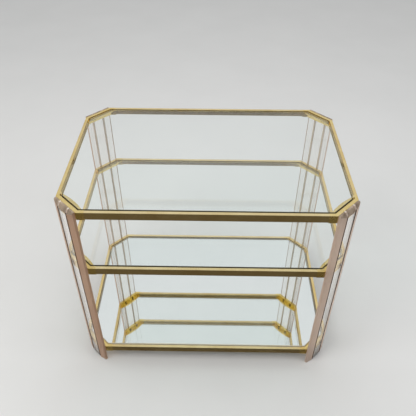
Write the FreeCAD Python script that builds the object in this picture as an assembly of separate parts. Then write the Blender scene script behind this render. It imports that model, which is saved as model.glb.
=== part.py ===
"""Three-tier etagere: octagonal metal frames carried by four clear slab posts.

Frame of reference: the origin is on the floor at the centre of the plan, +X runs
along the width, the front faces -Y and +Z is up. All sizes are in millimetres.

Each tier is a ring of four tube rails plugged onto four cast corners. A pane lies
loose inside the ring, on a thin gusset in each corner. Every corner is screwed from
inside to the flat back of a post that stands across it.
"""

import FreeCAD, Part
import math
import os

# Plan of the frames and the level of each frame's top face
FRAME_WIDTH = 762.0
FRAME_DEPTH = 508.0
CORNER_CUT = 63.0
TIER_LEVELS = {"top": 635.0, "middle": 435.0, "bottom": 70.0}

# Tube rails
RAIL_WIDTH = 9.5
RAIL_HEIGHT = 22.0
RAIL_WALL = 1.5
EDGE_RADIUS = 0.9

# Cast corners
CORNER_HEIGHT = 24.0
CORNER_LEG = 20.0
SPIGOT_LENGTH = 26.0
SPIGOT_CLEARANCE = 0.1
GUSSET_LEG = 17.0
GUSSET_REACH = 15.0
GUSSET_THICKNESS = 2.5

# Panes
PANE_THICKNESS = 6.0
PANE_RECESS = 0.5
PANE_CLEARANCE = 3.5
PANE_ARRIS = 1.5

# Slab posts
POST_WIDTH = 84.0
POST_THICKNESS = 12.7
POST_EDGE_THICKNESS = 7.5
POST_TOP_LAND = 5.0
POST_TOP_FALL = 12.5
POST_ARRIS = 0.5
GROOVE_SPACING = 37.0
GROOVE_WIDTH = 4.5
GROOVE_DEPTH = 8.5

# Screws from each corner into its post
SCREW_SPACING = 36.0
SCREW_DROP = 13.9
SCREW_DIAMETER = 4.2
SCREW_HEAD_DIAMETER = 8.2
SCREW_HEAD_HEIGHT = 2.6
SCREW_SOCKET_SIZE = 3.0
SCREW_SOCKET_DEPTH = 1.4
SCREW_TIP_GAP = 0.2
HOLE_CLEARANCE = 0.1
COUNTERBORE_CLEARANCE = 0.3
COUNTERBORE_DEPTH = 3.0

# Worked out from the sizes above
HALF_WIDTH = FRAME_WIDTH / 2
HALF_DEPTH = FRAME_DEPTH / 2
MITRE = math.tan(math.radians(22.5))
DIAGONAL = FreeCAD.Vector(1, 1, 0).normalize()
ALONG_CUT = FreeCAD.Vector(1, -1, 0).normalize()
UP = FreeCAD.Vector(0, 0, 1)
CUT_CENTRE = FreeCAD.Vector(HALF_WIDTH - CORNER_CUT / 2, HALF_DEPTH - CORNER_CUT / 2, 0)
POST_HEIGHT = TIER_LEVELS["top"]
CORNER_SIGNS = {
    "front_left": (-1, -1),
    "front_right": (1, -1),
    "back_left": (-1, 1),
    "back_right": (1, 1),
}


def prism(points, bottom, top):
    """Upright prism over a closed polygon of (x, y) points."""
    corners = [FreeCAD.Vector(x, y, bottom) for x, y in points]
    face = Part.Face(Part.makePolygon(corners + corners[:1]))
    return face.extrude(UP * (top - bottom))


def octagon(inset):
    """Points of the frame's outline moved inwards by inset, from the right side round."""
    x = HALF_WIDTH - inset
    y = HALF_DEPTH - inset
    cut_x = HALF_WIDTH - CORNER_CUT - inset * MITRE
    cut_y = HALF_DEPTH - CORNER_CUT - inset * MITRE
    return [
        (x, -cut_y), (x, cut_y), (cut_x, y), (-cut_x, y),
        (-x, cut_y), (-x, -cut_y), (-cut_x, -y), (cut_x, -y),
    ]


def into_corner(shape, signs):
    """Mirror a shape made in the back right corner into the corner with these signs."""
    origin = FreeCAD.Vector(0, 0, 0)
    if signs[0] < 0:
        shape = shape.mirror(origin, FreeCAD.Vector(1, 0, 0))
    if signs[1] < 0:
        shape = shape.mirror(origin, FreeCAD.Vector(0, 1, 0))
    return shape


def rounded_bar(length, width, height, radius):
    """Bar along +X from the origin, centred on Y, top at z = 0, long edges rounded."""
    bar = Part.makeBox(length, width, height, FreeCAD.Vector(0, -width / 2, -height))
    long_edges = [edge for edge in bar.Edges if abs(edge.tangentAt(edge.FirstParameter).x) > 0.99]
    return bar.makeFillet(radius, long_edges)


def tube_rail(length):
    """Rectangular tube along +X, centred on Y, with its top face at z = 0."""
    outside = rounded_bar(length, RAIL_WIDTH, RAIL_HEIGHT, EDGE_RADIUS)
    bore = Part.makeBox(
        length,
        RAIL_WIDTH - 2 * RAIL_WALL,
        RAIL_HEIGHT - 2 * RAIL_WALL,
        FreeCAD.Vector(0, -RAIL_WIDTH / 2 + RAIL_WALL, -RAIL_HEIGHT + RAIL_WALL),
    )
    return outside.cut(bore)


def long_rail(level, side):
    """Front (side -1) or back (side 1) rail of the frame at this level."""
    length = FRAME_WIDTH - 2 * (CORNER_CUT + CORNER_LEG)
    rail = tube_rail(length)
    rail.translate(FreeCAD.Vector(-length / 2, side * (HALF_DEPTH - RAIL_WIDTH / 2), level))
    return rail


def side_rail(level, side):
    """Left (side -1) or right (side 1) rail of the frame at this level."""
    length = FRAME_DEPTH - 2 * (CORNER_CUT + CORNER_LEG)
    rail = tube_rail(length)
    rail.rotate(FreeCAD.Vector(0, 0, 0), UP, 90)
    rail.translate(FreeCAD.Vector(side * (HALF_WIDTH - RAIL_WIDTH / 2), -length / 2, level))
    return rail


def corner_body(level):
    """Bent bar of the back right corner: the cut face and a short leg along each rail."""
    cut_x = HALF_WIDTH - CORNER_CUT
    cut_y = HALF_DEPTH - CORNER_CUT
    inner_x = HALF_WIDTH - RAIL_WIDTH
    inner_y = HALF_DEPTH - RAIL_WIDTH
    setback = RAIL_WIDTH * MITRE
    outline = [
        (HALF_WIDTH, cut_y - CORNER_LEG),
        (HALF_WIDTH, cut_y),
        (cut_x, HALF_DEPTH),
        (cut_x - CORNER_LEG, HALF_DEPTH),
        (cut_x - CORNER_LEG, inner_y),
        (cut_x - setback, inner_y),
        (inner_x, cut_y - setback),
        (inner_x, cut_y - CORNER_LEG),
    ]
    body = prism(outline, level - CORNER_HEIGHT, level)
    return body.makeFillet(EDGE_RADIUS, outer_arrises(body, outline[:4]))


def outer_arrises(body, path):
    """Level edges of a prism that run along a path of (x, y) points, top and bottom."""
    middles = []
    for start, end in zip(path, path[1:]):
        middles.append(((start[0] + end[0]) / 2, (start[1] + end[1]) / 2))
    chosen = []
    for edge in body.Edges:
        centre = edge.CenterOfMass
        for x, y in middles:
            if math.hypot(centre.x - x, centre.y - y) < 0.01:
                chosen.append(edge)
    return chosen


def corner_gusset(level):
    """Thin plate that fills the corner under the pane, with an arched free edge."""
    leg_on_side = FreeCAD.Vector(HALF_WIDTH - RAIL_WIDTH, HALF_DEPTH - CORNER_CUT - GUSSET_LEG, 0)
    leg_on_back = FreeCAD.Vector(HALF_WIDTH - CORNER_CUT - GUSSET_LEG, HALF_DEPTH - RAIL_WIDTH, 0)
    crown = CUT_CENTRE - DIAGONAL * (RAIL_WIDTH + GUSSET_REACH)
    root = RAIL_WIDTH / 2
    side_root = FreeCAD.Vector(HALF_WIDTH - root, leg_on_side.y, 0)
    back_root = FreeCAD.Vector(leg_on_back.x, HALF_DEPTH - root, 0)
    side_bend = FreeCAD.Vector(HALF_WIDTH - root, HALF_DEPTH - CORNER_CUT - root * MITRE, 0)
    back_bend = FreeCAD.Vector(HALF_WIDTH - CORNER_CUT - root * MITRE, HALF_DEPTH - root, 0)
    arched_edge = Part.Arc(leg_on_side, crown, leg_on_back).toShape()
    straight_edges = []
    chain = [leg_on_back, back_root, back_bend, side_bend, side_root, leg_on_side]
    for start, end in zip(chain, chain[1:]):
        straight_edges.append(Part.LineSegment(start, end).toShape())
    plate = Part.Face(Part.Wire([arched_edge] + straight_edges)).extrude(UP * GUSSET_THICKNESS)
    plate.translate(UP * (pane_bottom(level) - GUSSET_THICKNESS))
    return plate


def corner_spigots(level):
    """The two tongues of a corner that fill its rails' bores."""
    wall = RAIL_WALL + SPIGOT_CLEARANCE
    width = RAIL_WIDTH - 2 * wall
    height = RAIL_HEIGHT - 2 * wall
    bottom = level - RAIL_HEIGHT + wall
    root = CORNER_LEG / 2
    length = SPIGOT_LENGTH + root
    into_side = Part.makeBox(
        width, length, height,
        FreeCAD.Vector(HALF_WIDTH - wall - width, HALF_DEPTH - CORNER_CUT - root - length, bottom),
    )
    into_back = Part.makeBox(
        length, width, height,
        FreeCAD.Vector(HALF_WIDTH - CORNER_CUT - root - length, HALF_DEPTH - wall - width, bottom),
    )
    return [into_side, into_back]


def screw_axes(level):
    """Where the two screws of the back right corner cross the plane of the cut face."""
    height = UP * (level - SCREW_DROP)
    return [CUT_CENTRE + ALONG_CUT * (side * SCREW_SPACING / 2) + height for side in (-1, 1)]


def corner_casting(level):
    """Cast corner: bent bar, gusset, spigots and two counterbored screw holes."""
    casting = corner_body(level).multiFuse([corner_gusset(level)] + corner_spigots(level))
    hole_radius = SCREW_DIAMETER / 2 + HOLE_CLEARANCE
    bore_radius = SCREW_HEAD_DIAMETER / 2 + COUNTERBORE_CLEARANCE
    for point in screw_axes(level):
        inner_face = point - DIAGONAL * RAIL_WIDTH
        casting = casting.cut(Part.makeCylinder(hole_radius, RAIL_WIDTH, inner_face, DIAGONAL))
        casting = casting.cut(Part.makeCylinder(bore_radius, COUNTERBORE_DEPTH, inner_face, DIAGONAL))
    return casting.removeSplitter()


def corner_screw(point):
    """Socket screw through one point of the cut face, driven outwards into the post."""
    seat = point - DIAGONAL * (RAIL_WIDTH - COUNTERBORE_DEPTH)
    web = POST_THICKNESS - GROOVE_DEPTH
    shank_length = RAIL_WIDTH - COUNTERBORE_DEPTH + web - SCREW_TIP_GAP
    shank = Part.makeCylinder(SCREW_DIAMETER / 2, shank_length, seat, DIAGONAL)
    head = Part.makeCylinder(SCREW_HEAD_DIAMETER / 2, SCREW_HEAD_HEIGHT, seat, DIAGONAL * -1)
    socket = hexagon_prism(SCREW_SOCKET_SIZE, SCREW_SOCKET_DEPTH)
    socket.Placement = FreeCAD.Placement(
        seat - DIAGONAL * SCREW_HEAD_HEIGHT, FreeCAD.Rotation(UP, DIAGONAL)
    )
    return shank.fuse(head).cut(socket)


def hexagon_prism(across_flats, height):
    """Hexagonal prism on the XY plane, centred on the Z axis."""
    reach = across_flats / 2 / math.cos(math.radians(30))
    points = []
    for index in range(6):
        angle = math.radians(60 * index)
        points.append((reach * math.cos(angle), reach * math.sin(angle)))
    return prism(points, 0, height)


def post_section():
    """Slab section that slopes from each groove to its end: along the cut, then outwards."""
    half = POST_WIDTH / 2
    flat = (GROOVE_SPACING + GROOVE_WIDTH) / 2
    tip = POST_ARRIS
    return [
        (-half + tip, 0),
        (half - tip, 0),
        (half, tip),
        (half, POST_EDGE_THICKNESS - tip),
        (half - tip, POST_EDGE_THICKNESS),
        (flat, POST_THICKNESS),
        (-flat, POST_THICKNESS),
        (-half + tip, POST_EDGE_THICKNESS),
        (-half, POST_EDGE_THICKNESS - tip),
        (-half, tip),
    ]


def slab_post():
    """Back right post: slab with a sloping top, two full-height grooves and the screw holes."""
    points = []
    for along, outward in post_section():
        place = CUT_CENTRE + ALONG_CUT * along + DIAGONAL * outward
        points.append((place.x, place.y))
    post = prism(points, 0, POST_HEIGHT).cut(above_post_top())
    for side in (-1, 1):
        post = post.cut(post_groove(side))
    hole_radius = SCREW_DIAMETER / 2 + HOLE_CLEARANCE
    web = POST_THICKNESS - GROOVE_DEPTH
    for level in TIER_LEVELS.values():
        for point in screw_axes(level):
            post = post.cut(Part.makeCylinder(hole_radius, web, point, DIAGONAL))
    return post


def above_post_top():
    """Wedge cut off the back right post, whose top falls outwards from a level land."""
    reach = 2 * (POST_THICKNESS - POST_TOP_LAND)
    inner_edge = CUT_CENTRE - ALONG_CUT * POST_WIDTH + DIAGONAL * POST_TOP_LAND + UP * POST_HEIGHT
    outer_edge = inner_edge + DIAGONAL * reach
    corners = [inner_edge, outer_edge, outer_edge - UP * 2 * POST_TOP_FALL]
    profile = Part.Face(Part.makePolygon(corners + corners[:1]))
    return profile.extrude(ALONG_CUT * 2 * POST_WIDTH)


def post_groove(side):
    """Square groove in a post's outer face, on the left (-1) or right (1) of its middle."""
    points = []
    for along, outward in ((-0.5, 0), (0.5, 0), (0.5, 1.5), (-0.5, 1.5)):
        offset = side * GROOVE_SPACING / 2 + along * GROOVE_WIDTH
        depth = POST_THICKNESS - GROOVE_DEPTH + outward * GROOVE_DEPTH
        place = CUT_CENTRE + ALONG_CUT * offset + DIAGONAL * depth
        points.append((place.x, place.y))
    return prism(points, 0, POST_HEIGHT)


def pane_bottom(level):
    """Height of a pane's underside, which is also the top of the gussets."""
    return level - PANE_RECESS - PANE_THICKNESS


def pane(level):
    """Octagonal pane inside the frame's ring, with its level edges taken off."""
    bottom = pane_bottom(level)
    slab = prism(octagon(RAIL_WIDTH + PANE_CLEARANCE), bottom, bottom + PANE_THICKNESS)
    level_edges = [edge for edge in slab.Edges if abs(edge.tangentAt(edge.FirstParameter).z) < 0.01]
    return slab.makeChamfer(PANE_ARRIS, level_edges)


def tier_parts(tier, level):
    """Every sub-part of one tier, by name."""
    parts = {
        tier + "_front_rail": long_rail(level, -1),
        tier + "_back_rail": long_rail(level, 1),
        tier + "_left_rail": side_rail(level, -1),
        tier + "_right_rail": side_rail(level, 1),
    }
    casting = corner_casting(level)
    screws = Part.makeCompound([corner_screw(point) for point in screw_axes(level)])
    placed_screws = []
    for corner, signs in CORNER_SIGNS.items():
        parts[tier + "_" + corner + "_corner"] = into_corner(casting, signs)
        placed_screws.extend(into_corner(screws, signs).Solids)
    parts[tier + "_screws"] = Part.makeCompound(placed_screws)
    pane_name = "mirror" if tier == "bottom" else "glass"
    parts[tier + "_" + pane_name] = pane(level)
    return parts


def main():
    """Write one STEP file for each sub-part."""
    os.makedirs("parts", exist_ok=True)
    parts = {}
    for tier, level in TIER_LEVELS.items():
        parts.update(tier_parts(tier, level))
    post = slab_post()
    for corner, signs in CORNER_SIGNS.items():
        parts[corner + "_post"] = into_corner(post, signs)
    for name, shape in parts.items():
        shape.exportStep("parts/" + name + ".step")


main()
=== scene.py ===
"""Looks of a three-tier etagere: brass frames, clear acrylic posts, glass and mirror panes.

Everything is in metres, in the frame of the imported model: the origin is on the floor at
the centre of the plan, +X runs along the width, the front faces -Y and +Z is up.
"""

import math

import bmesh
import bpy
from mathutils import Matrix, Vector


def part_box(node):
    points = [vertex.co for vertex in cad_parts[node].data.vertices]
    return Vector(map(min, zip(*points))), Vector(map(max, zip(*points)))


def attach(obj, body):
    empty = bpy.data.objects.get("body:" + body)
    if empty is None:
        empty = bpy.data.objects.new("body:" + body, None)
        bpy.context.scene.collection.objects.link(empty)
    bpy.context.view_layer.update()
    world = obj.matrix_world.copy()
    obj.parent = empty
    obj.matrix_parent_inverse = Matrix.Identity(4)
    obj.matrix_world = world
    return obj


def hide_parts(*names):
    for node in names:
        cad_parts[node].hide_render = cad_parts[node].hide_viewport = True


# Camera
CAMERA_PLACE = (0.0142, -1.1451, 1.4294)
CAMERA_YAW = math.radians(-0.66)
CAMERA_PITCH = math.radians(40.95)
CAMERA_ROLL = math.radians(0.30)
CAMERA_LENS = 42.8
SENSOR_WIDTH = 36.0
CLIP_START = 0.01
CLIP_END = 200.0

# Light paths
LIGHT_BOUNCES = 24
GLOSSY_BOUNCES = 16
SEE_THROUGH_BOUNCES = 32

# Surroundings. The dark room lies where the direction's Y falls through ROOM_RANGE.
FLOOR_SIZE = 60.0
FLOOR_COLOUR = (0.70, 0.70, 0.69)
SKY_COLOUR = (0.90, 0.91, 0.92)
HORIZON_COLOUR = (0.74, 0.75, 0.76)
SKY_RANGE = (0.0, 0.8)
SKY_STRENGTH = 0.85
ROOM_COLOUR = (0.16, 0.15, 0.14)
ROOM_RANGE = (-0.35, -0.7)
CARD_COLOUR = (0.10, 0.085, 0.06)
CARD_SIZE = (3.2, 1.6)
CARD_PLACE = (0.0, -1.08, 0.002)

# Lamps: name, place, target, size, energy and colour
LAMPS = (
    ("key", (-1.9, -1.3, 2.6), (0, 0, 0.3), 1.6, 42, (1.0, 0.98, 0.95)),
    ("fill", (2.2, -0.9, 2.0), (0, 0, 0.3), 1.8, 16, (0.95, 0.97, 1.0)),
    ("top", (0.2, 0.9, 2.9), (0, 0, 0.2), 1.4, 14, (1.0, 1.0, 1.0)),
)

# Frames. The outline turns by 45 degrees at each vertex.
CORNER_CUT = 0.063
HALF_TURN = math.radians(22.5)
RAIL_WIDTH = 0.0095

# Panes. Three sides of a pane's outline face the front, in the order of octagon(); the glass
# panes' edges on these sides are painted dark as shade.
PANE_RECESS = 0.0005
PANE_THICKNESS = 0.006
PANE_CLEARANCE = 0.0035
PANE_ARRIS = 0.0015
SILVER_THICKNESS = 0.0003
FRONT_SIDES = (5, 6, 7)

# Posts. SEAT_GAP keeps clear pieces from sharing a face with what carries them.
POST_WIDTH = 0.084
POST_THICKNESS = 0.0127
POST_EDGE_THICKNESS = 0.0075
POST_TOP_LAND = 0.005
POST_TOP_FALL = 0.0125
POST_ARRIS = 0.0005
GROOVE_SPACING = 0.037
GROOVE_WIDTH = 0.0045
GROOVE_DEPTH = 0.0085
MOUTH_DEPTH = 0.0022
SEAT_GAP = 0.00015
BEVEL_SEGMENTS = 2
BEVEL_ANGLE = math.radians(20)
CORNER_SIGNS = {
    "front_left": (-1, -1),
    "front_right": (1, -1),
    "back_left": (-1, 1),
    "back_right": (1, 1),
}

# Material slots of a post; every finish that isn't named here is the clear acrylic's
POST_SLOTS = {"clear": 0, "groove": 1, "mouth": 2, "end": 3}

# Noise over the object's coordinates: scale, detail and, where it is stretched, the stretch
NOISE_RANGE = (0.3, 0.7)
NOISE_ROUGHNESS = 0.55
TARNISH_NOISE = (22.0, 6.0)
WEAR_NOISE = (60.0, 5.0)
SMUDGE_NOISE = (14.0, 8.0)
SILVER_NOISE = (9.0, 7.0)
SILVER_WEAR_NOISE = (30.0, 6.0)
ACRYLIC_NOISE = (26.0, 7.0, (1, 1, 0.2))
SANDING_NOISE = (90.0, 5.0)
DUST_NOISE = (45.0, 6.0, (1, 1, 0.15))
SAW_NOISE = (1.0, 3.0, (300, 300, 1500))
MATT_NOISE = (3.0, 4.0)

# Brass: light and tarnished colour of the faces that look up, painted paler as lit, and of the
# others, painted deeper as shade; how far up a face looks as it turns to lit; and its roughness
RAIL_BRASS = {
    "lit_tones": ((0.92, 0.77, 0.44), (0.80, 0.63, 0.32)),
    "shaded_tones": ((0.90, 0.71, 0.38), (0.80, 0.58, 0.26)),
    "lit_facing": (-0.6, 0.4),
    "roughness": (0.10, 0.22),
}
SIDE_RAIL_BRASS = {**RAIL_BRASS, "lit_tones": ((0.89, 0.71, 0.36), (0.77, 0.57, 0.24))}
# Painted dark reflection on the side rails' inner faces, and the range of X times the normal's X
# that turns it on
SIDE_RAIL_INSIDE_SHADE = (0.47, 0.345, 0.125)
INSIDE_RANGE = (0.0, -0.2)
# Corners: painted paler on the top faces as lit, and a deeper gold on the others as shade
CORNER_BRASS = {
    "lit_tones": ((0.92, 0.75, 0.37), (0.80, 0.59, 0.21)),
    "shaded_tones": ((1.0, 0.79, 0.32), (0.92, 0.67, 0.22)),
    "lit_facing": (0.3, 0.7),
    "roughness": (0.16, 0.30),
}
# Painted shade at the upright seams behind the front corners, and how far it reaches
SEAM_SHADE = (0.05, 0.038, 0.018)
SEAM_REACH = (0.007, 0.011)

# Black screws
SCREW_TONES = ((0.045, 0.03, 0.02), (0.015, 0.01, 0.007))
SCREW_ROUGHNESS = (0.25, 0.45)

# Fine lines in the metals: their density along each axis, and their height
RAIL_X_GRAIN = (4, 900, 900)
RAIL_Y_GRAIN = (900, 4, 900)
CORNER_GRAIN = (260, 260, 260)
SCREW_GRAIN = (500, 500, 500)
GRAIN_NOISE = (1.0, 3.0)
GRAIN_HEIGHT = 0.00002

# Glass and silver
GLASS_IOR = 1.52
GLASS_ABSORBS = (0.45, 0.86, 0.74)
GLASS_DENSITY = 9.0
GLASS_PASSES = (0.90, 0.94, 0.93)
GLASS_ROUGHNESS = (0.0, 0.012)
SILVER_TONES = ((0.95, 0.95, 0.945), (0.92, 0.925, 0.92))
SILVER_ROUGHNESS = (0.0, 0.02)

# Acrylic
ACRYLIC_IOR = 1.49
ACRYLIC_ABSORBS = (0.66, 0.34, 0.01)
ACRYLIC_DENSITY = 6.0
ACRYLIC_PASSES = (0.93, 0.88, 0.85)
ACRYLIC_ROUGHNESS = (0.0, 0.02)
CLEAR_WHITE = (1.0, 1.0, 1.0)
# Satin tints of the posts' sanded faces; the left posts' darker amber is partly their own tint and
# partly painted shade
SATIN_TINTS_AND_SHADE = {
    "amber": ((0.70, 0.45, 0.30), (0.58, 0.34, 0.21)),
    "rose": ((0.84, 0.66, 0.54), (0.75, 0.56, 0.44)),
}
POST_TINTS_AND_SHADE = {
    "front_left": "amber",
    "front_right": "rose",
    "back_left": "amber",
    "back_right": "rose",
}
SATIN_CLARITY = 0.45
SATIN_ROUGHNESS = (0.4, 0.55)
GLANCING_BLEND = 0.5
GLANCING_RANGE = (0.25, 0.5)

# Sawn and ground faces: light and dark tone
GROOVE_TONES = {
    "front": ((0.93, 0.85, 0.79), (0.84, 0.72, 0.63)),
    "back": ((0.98, 0.86, 0.72), (0.93, 0.77, 0.60)),
}
# Groove mouths: darker than the groove walls, and on the front posts painted darker still as shade
MOUTH_SHADE_TONES = {
    "front": ((0.16, 0.078, 0.043), (0.09, 0.046, 0.023)),
    "back": ((0.32, 0.22, 0.16), (0.22, 0.14, 0.10)),
}
POST_END_TONES = ((0.46, 0.36, 0.265), (0.13, 0.088, 0.058))
# Painted light in streaks on the front posts' ends beside the grooves: its colour, and the widths
# over which it fades
STREAK_LIGHT_COLOUR = (0.66, 0.59, 0.49)
STREAK_WIDTH = (0.002, 0.0045)
# Pane edges: the glass panes' front edges are painted dark as shade and their other edges take a
# lit tone; the mirror's edges have one tone all round
PANE_EDGES_WITH_SHADE = {
    "front": ((0.07, 0.058, 0.03), (0.04, 0.032, 0.015)),
    "other_lit": ((0.52, 0.43, 0.24), (0.38, 0.30, 0.15)),
    "mirror": ((0.72, 0.67, 0.55), (0.60, 0.54, 0.42)),
}
SAWN_ROUGHNESS = 0.65
SAW_MARK_HEIGHT = 0.00003

# Floor and card
MATT_ROUGHNESS = 0.9
MATT_UNEVENNESS = 0.03


def add_node(tree, kind, **settings):
    """A new node of this kind, with its named settings and inputs filled in."""
    node = tree.nodes.new(kind)
    for name, value in settings.items():
        if hasattr(node, name):
            setattr(node, name, value)
        else:
            node.inputs[name.replace("_", " ")].default_value = value
    return node


def new_material(name):
    """An empty node material with its output node."""
    material = bpy.data.materials.new(name)
    material.use_nodes = True
    material.node_tree.nodes.clear()
    output = material.node_tree.nodes.new("ShaderNodeOutputMaterial")
    return material, material.node_tree, output


def ranged(tree, factor, start, end, low, high):
    """Map a factor that runs from start to end onto the range from low to high."""
    node = add_node(tree, "ShaderNodeMapRange")
    for name, value in (("From Min", start), ("From Max", end), ("To Min", low), ("To Max", high)):
        node.inputs[name].default_value = value
    tree.links.new(factor, node.inputs["Value"])
    return node.outputs["Result"]


def calculate(tree, operation, *factors):
    """A sum, product or the like of the factors; each is a number or a socket."""
    node = add_node(tree, "ShaderNodeMath", operation=operation)
    for socket, factor in zip(node.inputs, factors):
        if isinstance(factor, float):
            socket.default_value = factor
        else:
            tree.links.new(factor, socket)
    return node.outputs[0]


def coordinates(tree, kind):
    """The X, Y and Z sockets of the object's own place or normal, or of a world direction."""
    split = add_node(tree, "ShaderNodeSeparateXYZ")
    place = add_node(tree, "ShaderNodeTexCoord")
    tree.links.new(place.outputs[kind], split.inputs[0])
    return split.outputs


def noise(tree, scale, detail, stretch=(1, 1, 1)):
    """Noise over the object's own coordinates, stretched along each axis."""
    place = add_node(tree, "ShaderNodeTexCoord")
    mapping = add_node(tree, "ShaderNodeMapping", Scale=stretch)
    texture = add_node(tree, "ShaderNodeTexNoise", Scale=scale, Detail=detail)
    texture.inputs["Roughness"].default_value = NOISE_ROUGHNESS
    tree.links.new(place.outputs["Object"], mapping.inputs["Vector"])
    tree.links.new(mapping.outputs["Vector"], texture.inputs["Vector"])
    return texture.outputs["Fac"]


def noise_between(tree, settings, low, high):
    """Noise that runs from low to high."""
    return ranged(tree, noise(tree, *settings), *NOISE_RANGE, low, high)


def blend_colours(tree, factor, first, second):
    """Colour that runs from first to second with the factor; each is a colour or a socket."""
    node = add_node(tree, "ShaderNodeMix", data_type="RGBA")
    for socket, colour in ((node.inputs[6], first), (node.inputs[7], second)):
        if isinstance(colour, tuple):
            socket.default_value = (*colour, 1)
        else:
            tree.links.new(colour, socket)
    tree.links.new(factor, node.inputs["Factor"])
    return node.outputs[2]


def mottled(tree, settings, tones):
    """Colour that noise blends from the first of two tones to the second."""
    return blend_colours(tree, noise_between(tree, settings, 0.0, 1.0), *tones)


def blend_shaders(tree, factor, first, second):
    """Shader that runs from first to second with the factor."""
    node = add_node(tree, "ShaderNodeMixShader")
    for socket, source in zip(node.inputs, (factor, first, second)):
        tree.links.new(source, socket)
    return node.outputs[0]


def bump(tree, factor, distance):
    """Bump from a height factor."""
    node = add_node(tree, "ShaderNodeBump", Distance=distance, Strength=1.0)
    tree.links.new(factor, node.inputs["Height"])
    return node.outputs["Normal"]


def base_colour(material):
    """The material's tree, the input of its base colour and the socket that feeds it."""
    tree = material.node_tree
    base = tree.nodes["Principled BSDF"].inputs["Base Color"]
    return tree, base, base.links[0].from_socket


def metal(name, tones, roughness, grain):
    """Polished metal with faint tarnish and with fine lines of this grain."""
    material, tree, output = new_material(name)
    shader = add_node(tree, "ShaderNodeBsdfPrincipled", Metallic=1.0)
    tree.links.new(mottled(tree, TARNISH_NOISE, tones), shader.inputs["Base Color"])
    tree.links.new(noise_between(tree, WEAR_NOISE, *roughness), shader.inputs["Roughness"])
    lines = noise(tree, *GRAIN_NOISE, grain)
    tree.links.new(bump(tree, lines, GRAIN_HEIGHT), shader.inputs["Normal"])
    tree.links.new(shader.outputs[0], output.inputs["Surface"])
    return material


def front_seams(tree):
    """Mask of painted shade near the upright seams where the side rails' inner faces meet the
    front corners.
    """
    x, y, _ = coordinates(tree, "Object")
    place = add_node(tree, "ShaderNodeCombineXYZ")
    tree.links.new(calculate(tree, "ABSOLUTE", x), place.inputs["X"])
    tree.links.new(y, place.inputs["Y"])
    distance = add_node(tree, "ShaderNodeVectorMath", operation="DISTANCE")
    tree.links.new(place.outputs[0], distance.inputs[0])
    front_right_seam = octagon(RAIL_WIDTH)[0]
    distance.inputs[1].default_value = (*front_right_seam, 0.0)
    return ranged(tree, distance.outputs["Value"], *SEAM_REACH, 1.0, 0.0)


def faces_inwards(tree):
    """Mask of the painted dark reflection on the faces of a side rail that look towards the middle
    of the shelf.
    """
    x = coordinates(tree, "Object")["X"]
    facing_x = coordinates(tree, "Normal")["X"]
    return ranged(tree, calculate(tree, "MULTIPLY", x, facing_x), *INSIDE_RANGE, 0.0, 1.0)


def frame_brass(name, grain, lit_tones, shaded_tones, lit_facing, roughness):
    """Brass of a frame, painted paler as lit on the faces that look up enough, deeper as shade on
    the others.
    """
    material = metal(name, lit_tones, roughness, grain)
    tree, base, lit_colour = base_colour(material)
    # Faces that look up take the lit tones and the others the shaded ones: painted light and shade
    upward = ranged(tree, coordinates(tree, "Normal")["Z"], *lit_facing, 0.0, 1.0)
    shaded_colour = mottled(tree, TARNISH_NOISE, shaded_tones)
    # Painted shade near the front seams, on the faces that don't look up
    seam_shaded = blend_colours(tree, front_seams(tree), shaded_colour, SEAM_SHADE)
    tree.links.new(blend_colours(tree, upward, seam_shaded, lit_colour), base)
    return material


def side_rail_brass(name):
    """Brass of the side rails, with a painted dark reflection on their inner faces."""
    material = frame_brass(name, RAIL_Y_GRAIN, **SIDE_RAIL_BRASS)
    tree, base, colour = base_colour(material)
    tree.links.new(blend_colours(tree, faces_inwards(tree), colour, SIDE_RAIL_INSIDE_SHADE), base)
    return material


def finish_clear(tree, output, shader, passed, absorbs, density):
    """Let lamp light of this colour through the shader, and tint the solid in its depth."""
    see_through = add_node(tree, "ShaderNodeBsdfTransparent", Color=(*passed, 1))
    shadow = add_node(tree, "ShaderNodeLightPath").outputs["Is Shadow Ray"]
    surface = blend_shaders(tree, shadow, shader.outputs[0], see_through.outputs[0])
    tree.links.new(surface, output.inputs["Surface"])
    volume = add_node(tree, "ShaderNodeVolumeAbsorption", Color=(*absorbs, 1), Density=density)
    tree.links.new(volume.outputs[0], output.inputs["Volume"])


def clear_glass(name):
    """Clear glass with faint smudges."""
    material, tree, output = new_material(name)
    shader = add_node(
        tree,
        "ShaderNodeBsdfPrincipled",
        IOR=GLASS_IOR,
        Base_Color=(*CLEAR_WHITE, 1),
        Transmission_Weight=1.0,
    )
    smudges = noise_between(tree, SMUDGE_NOISE, *GLASS_ROUGHNESS)
    tree.links.new(smudges, shader.inputs["Roughness"])
    finish_clear(tree, output, shader, GLASS_PASSES, GLASS_ABSORBS, GLASS_DENSITY)
    return material


def silvered(name):
    """Silver film under a mirror's glass, with faint clouding."""
    material, tree, output = new_material(name)
    shader = add_node(tree, "ShaderNodeBsdfPrincipled", Metallic=1.0)
    tree.links.new(mottled(tree, SILVER_NOISE, SILVER_TONES), shader.inputs["Base Color"])
    wear = noise_between(tree, SILVER_WEAR_NOISE, *SILVER_ROUGHNESS)
    tree.links.new(wear, shader.inputs["Roughness"])
    tree.links.new(shader.outputs[0], output.inputs["Surface"])
    return material


def post_haze(tree):
    """How sanded a face of a post is: its edges fully, its flanks only at a glancing view."""
    sanded = add_node(tree, "ShaderNodeAttribute", attribute_name="sanded")
    lightly = add_node(tree, "ShaderNodeAttribute", attribute_name="lightly_sanded")
    slant = add_node(tree, "ShaderNodeLayerWeight", Blend=GLANCING_BLEND)
    glancing = ranged(tree, slant.outputs["Facing"], *GLANCING_RANGE, 0.0, 1.0)
    flanks = calculate(tree, "MULTIPLY", lightly.outputs["Fac"], glancing)
    return calculate(tree, "MAXIMUM", sanded.outputs["Fac"], flanks)


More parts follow.
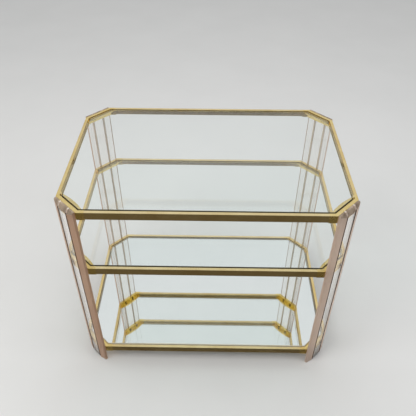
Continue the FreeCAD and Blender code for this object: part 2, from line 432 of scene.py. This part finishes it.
def aged_acrylic(name, tones):
    """Clear acrylic, tinted in its depth, whose sanded faces scatter part of the light."""
    material, tree, output = new_material(name)
    shader = add_node(tree, "ShaderNodeBsdfPrincipled", IOR=ACRYLIC_IOR)
    haze = post_haze(tree)
    tint = blend_colours(tree, haze, CLEAR_WHITE, mottled(tree, ACRYLIC_NOISE, tones))
    clarity = ranged(tree, haze, 0.0, 1.0, 1.0, SATIN_CLARITY)
    satin = noise_between(tree, SANDING_NOISE, *SATIN_ROUGHNESS)
    smudges = noise_between(tree, SMUDGE_NOISE, *ACRYLIC_ROUGHNESS)
    roughness = calculate(tree, "ADD", calculate(tree, "MULTIPLY", haze, satin), smudges)
    tree.links.new(tint, shader.inputs["Base Color"])
    tree.links.new(clarity, shader.inputs["Transmission Weight"])
    tree.links.new(roughness, shader.inputs["Roughness"])
    finish_clear(tree, output, shader, ACRYLIC_PASSES, ACRYLIC_ABSORBS, ACRYLIC_DENSITY)
    return material


def sawn(name, tones):
    """Sawn or ground face with dust in its marks."""
    material, tree, output = new_material(name)
    shader = add_node(tree, "ShaderNodeBsdfPrincipled", Roughness=SAWN_ROUGHNESS)
    tree.links.new(mottled(tree, DUST_NOISE, tones), shader.inputs["Base Color"])
    marks = noise(tree, *SAW_NOISE)
    tree.links.new(bump(tree, marks, SAW_MARK_HEIGHT), shader.inputs["Normal"])
    tree.links.new(shader.outputs[0], output.inputs["Surface"])
    return material


def sawn_faces(prefix, tones):
    """A sawn material for each place that has its own tones."""
    return {place: sawn(prefix + place, pair) for place, pair in tones.items()}


def light_streaked_end(name):
    """Sawn end of a post, with painted light in pale streaks where the grooves come out."""
    material = sawn(name, POST_END_TONES)
    tree, base, sawn_colour = base_colour(material)
    x, y, _ = coordinates(tree, "Object")
    across = calculate(tree, "SUBTRACT", *(calculate(tree, "ABSOLUTE", axis) for axis in (x, y)))
    width, depth = half_sizes()
    from_middle = calculate(tree, "ABSOLUTE", calculate(tree, "SUBTRACT", across, width - depth))
    groove = GROOVE_SPACING / 2 * math.sqrt(2)
    beside = calculate(tree, "ABSOLUTE", calculate(tree, "SUBTRACT", from_middle, groove))
    light_streak = ranged(tree, beside, *STREAK_WIDTH, 1.0, 0.0)
    tree.links.new(blend_colours(tree, light_streak, sawn_colour, STREAK_LIGHT_COLOUR), base)
    return material


def matt(name, colour):
    """Matt surface with a faint unevenness."""
    material, tree, output = new_material(name)
    shader = add_node(tree, "ShaderNodeBsdfPrincipled", Roughness=MATT_ROUGHNESS)
    darker = tuple(channel * (1 - MATT_UNEVENNESS) for channel in colour)
    tree.links.new(mottled(tree, MATT_NOISE, (colour, darker)), shader.inputs["Base Color"])
    tree.links.new(shader.outputs[0], output.inputs["Surface"])
    return material


def seen_in_reflections(name, colour):
    """Matt surface that is there only for light that something glossy has reflected."""
    material = matt(name, colour)
    tree = material.node_tree
    surface = tree.nodes["Material Output"].inputs["Surface"]
    shader = surface.links[0].from_socket
    depth = add_node(tree, "ShaderNodeLightPath").outputs["Glossy Depth"]
    reflected = ranged(tree, depth, 0.0, 1.0, 0.0, 1.0)
    nothing = add_node(tree, "ShaderNodeBsdfTransparent")
    tree.links.new(blend_shaders(tree, reflected, nothing.outputs[0], shader), surface)
    return material


def new_object(name, data):
    """An object with this data in the scene."""
    obj = bpy.data.objects.new(name, data)
    bpy.context.scene.collection.objects.link(obj)
    return obj


def extrude_outline(outline, bottom, top):
    """Upright prism over (x, y) points: its two ends, then its sides in the points' order."""
    bm = bmesh.new()
    low = [bm.verts.new((x, y, bottom)) for x, y in outline]
    high = [bm.verts.new((x, y, top)) for x, y in outline]
    bm.faces.new(low)
    bm.faces.new(high)
    for index in range(len(outline)):
        after = (index + 1) % len(outline)
        bm.faces.new((low[index], low[after], high[after], high[index]))
    bmesh.ops.recalc_face_normals(bm, faces=bm.faces)
    return bm


def piece_from(bm, name, materials, node):
    """Turn the mesh into a piece that stands for a CAD node."""
    mesh = bpy.data.meshes.new(name)
    bm.to_mesh(mesh)
    bm.free()
    for material in materials:
        mesh.materials.append(material)
    piece = new_object(name, mesh)
    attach(piece, "root")
    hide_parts(node)
    return piece


def half_sizes():
    """Half the width and half the depth of the frames."""
    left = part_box("top_left_rail")[0]
    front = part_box("top_front_rail")[0]
    return -left.x, -front.y


def octagon(inset):
    """Points of the frames' outline moved inwards by inset, from the right rail's front end."""
    width, depth = half_sizes()
    step = inset * math.tan(HALF_TURN)
    x, y = width - inset, depth - inset
    cut_x, cut_y = width - CORNER_CUT - step, depth - CORNER_CUT - step
    right = [(x, -cut_y), (x, cut_y)]
    back = [(cut_x, y), (-cut_x, y)]
    left = [(-x, cut_y), (-x, -cut_y)]
    front = [(-cut_x, -y), (cut_x, -y)]
    return right + back + left + front


def post_section():
    """Section of a post with two grooves, as (along, outwards) points, and its sides' finishes."""
    half = POST_WIDTH / 2
    floor = POST_THICKNESS - GROOVE_DEPTH
    mouth = POST_THICKNESS - MOUTH_DEPTH
    tip = POST_EDGE_THICKNESS - POST_ARRIS
    eased = half - POST_ARRIS
    points = [(-half, SEAT_GAP), (half, SEAT_GAP), (half, tip), (eased, POST_EDGE_THICKNESS)]
    finishes = ["polished", "sanded", "sanded", "lightly_sanded"]
    for side in (1, -1):
        right = side * GROOVE_SPACING / 2 + GROOVE_WIDTH / 2
        left = right - GROOVE_WIDTH
        points += [(right, POST_THICKNESS), (right, mouth), (right, floor)]
        points += [(left, floor), (left, mouth), (left, POST_THICKNESS)]
        finishes += ["mouth", "groove", "groove", "groove", "mouth"]
        finishes.append("polished" if side > 0 else "lightly_sanded")
    points += [(-eased, POST_EDGE_THICKNESS), (-half, tip)]
    finishes += ["sanded", "sanded"]
    return points, finishes


def build_post(corner, materials):
    """Clear post across one corner, its top sloping away from the frame."""
    sign_x, sign_y = CORNER_SIGNS[corner]
    width, depth = half_sizes()
    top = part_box("top_front_rail")[1].z
    outwards = Vector((sign_x, sign_y, 0)).normalized()
    along = Vector((sign_x, -sign_y, 0)).normalized()
    seat = Vector((sign_x * (width - CORNER_CUT / 2), sign_y * (depth - CORNER_CUT / 2), 0))
    section, finishes = post_section()
    bm = extrude_outline([(seat + along * s + outwards * t).xy for s, t in section], 0.0, top)
    marks = {name: bm.faces.layers.float.new(name) for name in ("sanded", "lightly_sanded")}
    bm.faces.ensure_lookup_table()
    for face, finish in zip(bm.faces, ["end", "end", *finishes]):
        face.material_index = POST_SLOTS.get(finish, POST_SLOTS["clear"])
        if finish in marks:
            face[marks[finish]] = 1.0
    slope = outwards * POST_TOP_FALL + Vector((0, 0, 1)) * (POST_THICKNESS - POST_TOP_LAND)
    bmesh.ops.bisect_plane(
        bm,
        geom=bm.verts[:] + bm.edges[:] + bm.faces[:],
        plane_co=seat + outwards * POST_TOP_LAND + Vector((0, 0, top)),
        plane_no=slope.normalized(),
        clear_outer=True,
    )
    filled = bmesh.ops.holes_fill(bm, edges=[edge for edge in bm.edges if edge.is_boundary])
    for face in filled["faces"]:
        face.material_index = POST_SLOTS["end"]
    bmesh.ops.recalc_face_normals(bm, faces=bm.faces)
    piece = piece_from(bm, corner + "_post_clear", materials, corner + "_post")
    ease = piece.modifiers.new("eased_edges", "BEVEL")
    ease.width = POST_ARRIS / 2
    ease.segments = BEVEL_SEGMENTS
    ease.limit_method = "ANGLE"
    ease.angle_limit = BEVEL_ANGLE


def build_posts():
    """The four posts."""
    clear = {tint: aged_acrylic("post_acrylic_" + tint, SATIN_TINTS_AND_SHADE[tint]) for tint in SATIN_TINTS_AND_SHADE}
    grooves = sawn_faces("post_groove_", GROOVE_TONES)
    # Groove mouths, painted darker on the front posts as shade
    mouth_shades = sawn_faces("post_groove_mouth_shade_", MOUTH_SHADE_TONES)
    # Only the front posts' ends carry the painted light streaks
    ends = {"front": light_streaked_end("post_end_front_lit"), "back": sawn("post_end_back", POST_END_TONES)}
    # The left posts take the darker amber, which is partly painted shade
    for corner, tint in POST_TINTS_AND_SHADE.items():
        place = corner.split("_")[0]
        build_post(corner, [clear[tint], grooves[place], mouth_shades[place], ends[place]])


def build_pane(name, inset, bottom, top, materials, node):
    """Octagonal pane with arrises: clear, but for the ground edges and upper arrises, which take
    the second material on the front sides and the third on the others; for the glass panes these
    are a painted shade and a lit tone.
    """
    rings = (
        (inset + PANE_ARRIS, bottom),
        (inset, bottom + PANE_ARRIS),
        (inset, top - PANE_ARRIS),
        (inset + PANE_ARRIS, top),
    )
    bm = bmesh.new()
    loops = [[bm.verts.new((x, y, height)) for x, y in octagon(reach)] for reach, height in rings]
    bm.faces.new(loops[0])
    bm.faces.new(loops[-1])
    for level, (low, high) in enumerate(zip(loops, loops[1:])):
        for side in range(len(low)):
            after = (side + 1) % len(low)
            face = bm.faces.new((low[side], low[after], high[after], high[side]))
            if level > 0:
                # Edges on the front sides take the second material, for glass the painted shade;
                # the others take the third, the lit tone
                face.material_index = 1 if side in FRONT_SIDES else 2
    bmesh.ops.recalc_face_normals(bm, faces=bm.faces)
    piece_from(bm, name, materials, node)


def build_panes():
    """The two glass panes, and the mirror as a glass pane over a silver film."""
    glass = clear_glass("pane_glass")
    edges = sawn_faces("pane_edge_", PANE_EDGES_WITH_SHADE)
    # Glass panes: painted shade on the front edges, and the lit tone on the others
    glass_finishes = [glass, edges["front"], edges["other_lit"]]
    mirror_finishes = [glass, edges["mirror"], edges["mirror"]]
    inset = RAIL_WIDTH + PANE_CLEARANCE
    for tier, node, slot, finishes in (
        ("top", "top_glass", "clear_glass", glass_finishes),
        ("middle", "middle_glass", "clear_glass", glass_finishes),
        ("bottom", "bottom_mirror", "mirror_pane", mirror_finishes),
    ):
        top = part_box(tier + "_front_rail")[1].z - PANE_RECESS
        bottom = top - PANE_THICKNESS + SEAT_GAP
        if tier == "bottom":
            film_outline = octagon(inset + PANE_ARRIS)
            film = extrude_outline(film_outline, bottom, bottom + SILVER_THICKNESS)
            piece_from(film, "bottom_mirror_silver", [silvered("pane_silver")], node)
            bottom += SILVER_THICKNESS + SEAT_GAP / 2
        build_pane(node + "_pane", inset, bottom, top, finishes, node)


def dress(node, material):
    """Give a CAD node this material in place of its own."""
    slots = node.data.materials
    if not slots:
        slots.append(material)
    for index in range(len(slots)):
        slots[index] = material


def dress_cad():
    """Put a material on every CAD node that stays in the scene."""
    rail_x = frame_brass("brass_rail_x", RAIL_X_GRAIN, **RAIL_BRASS)
    rail_y = side_rail_brass("brass_rail_y")
    finishes = {
        "front_rail": rail_x,
        "back_rail": rail_x,
        "left_rail": rail_y,
        "right_rail": rail_y,
        "corner": frame_brass("brass_corner", CORNER_GRAIN, **CORNER_BRASS),
        "screws": metal("screw_black", SCREW_TONES, SCREW_ROUGHNESS, SCREW_GRAIN),
    }
    for name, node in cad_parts.items():
        for ending, material in finishes.items():
            if name.endswith(ending):
                dress(node, material)


def plane(name, size, centre, material):
    """Level rectangle with its middle at centre."""
    mesh = bpy.data.meshes.new(name)
    corners = [
        (centre[0] + x * size[0] / 2, centre[1] + y * size[1] / 2, centre[2])
        for x, y in ((-1, -1), (1, -1), (1, 1), (-1, 1))
    ]
    mesh.from_pydata(corners, [], [(0, 1, 2, 3)])
    mesh.materials.append(material)
    return new_object(name, mesh)


def build_stage():
    """Pale floor, and a dark card on it in front that only reflections in the metal see."""
    floor = plane("floor", (FLOOR_SIZE, FLOOR_SIZE), (0, 0, 0), matt("floor_pale", FLOOR_COLOUR))
    hidden = seen_in_reflections("card_dark", CARD_COLOUR)
    card = plane("dark_card", CARD_SIZE, CARD_PLACE, hidden)
    card.visible_diffuse = False
    card.visible_shadow = False


def area_light(name, place, target, size, energy, colour):
    """Square lamp at place, turned towards target."""
    data = bpy.data.lights.new(name, "AREA")
    data.size = size
    data.energy = energy
    data.color = colour
    lamp = new_object(name, data)
    lamp.location = place
    direction = Vector(target) - Vector(place)
    lamp.rotation_euler = direction.to_track_quat("-Z", "Y").to_euler()
    lamp.visible_glossy = False
    lamp.visible_transmission = False


def build_lights():
    """Soft lamps in a pale sky; the camera itself doesn't see the dark room on its side."""
    for lamp in LAMPS:
        area_light(*lamp)
    world = bpy.data.worlds.new("studio")
    bpy.context.scene.world = world
    world.use_nodes = True
    tree = world.node_tree
    tree.nodes.clear()
    output = add_node(tree, "ShaderNodeOutputWorld")
    background = add_node(tree, "ShaderNodeBackground", Strength=SKY_STRENGTH)
    _, y, z = coordinates(tree, "Generated")
    height = ranged(tree, z, *SKY_RANGE, 0.0, 1.0)
    sky = blend_colours(tree, height, HORIZON_COLOUR, SKY_COLOUR)
    behind = ranged(tree, y, *ROOM_RANGE, 0.0, 1.0)
    around = blend_colours(tree, behind, sky, ROOM_COLOUR)
    seen = add_node(tree, "ShaderNodeLightPath").outputs["Is Camera Ray"]
    tree.links.new(blend_colours(tree, seen, around, sky), background.inputs["Color"])
    tree.links.new(background.outputs[0], output.inputs["Surface"])


def build_camera():
    """Camera at the angle from which the object is shown."""
    data = bpy.data.cameras.new("camera")
    data.lens = CAMERA_LENS
    data.sensor_width = SENSOR_WIDTH
    data.clip_start = CLIP_START
    data.clip_end = CLIP_END
    camera = new_object("camera", data)
    turn = Matrix.Rotation(-CAMERA_YAW, 4, "Z")
    tilt = Matrix.Rotation(math.pi / 2 - CAMERA_PITCH, 4, "X")
    roll = Matrix.Rotation(CAMERA_ROLL, 4, "Z")
    camera.matrix_world = Matrix.Translation(CAMERA_PLACE) @ turn @ tilt @ roll
    bpy.context.scene.camera = camera


def set_light_paths():
    """Let light pass all the panes and posts that lie behind one another."""
    cycles = bpy.context.scene.cycles
    cycles.max_bounces = LIGHT_BOUNCES
    cycles.transmission_bounces = LIGHT_BOUNCES
    cycles.glossy_bounces = GLOSSY_BOUNCES
    cycles.transparent_max_bounces = SEE_THROUGH_BOUNCES


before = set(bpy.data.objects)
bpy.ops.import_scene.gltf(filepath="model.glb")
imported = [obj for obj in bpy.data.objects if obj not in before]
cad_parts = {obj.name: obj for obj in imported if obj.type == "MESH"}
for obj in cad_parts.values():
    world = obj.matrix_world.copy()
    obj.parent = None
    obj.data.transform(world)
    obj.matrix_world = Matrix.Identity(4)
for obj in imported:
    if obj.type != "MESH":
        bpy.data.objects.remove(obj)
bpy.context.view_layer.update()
bpy.context.scene.view_settings.view_transform = "Standard"
build_camera()
build_stage()
build_lights()
set_light_paths()
dress_cad()
build_panes()
build_posts()
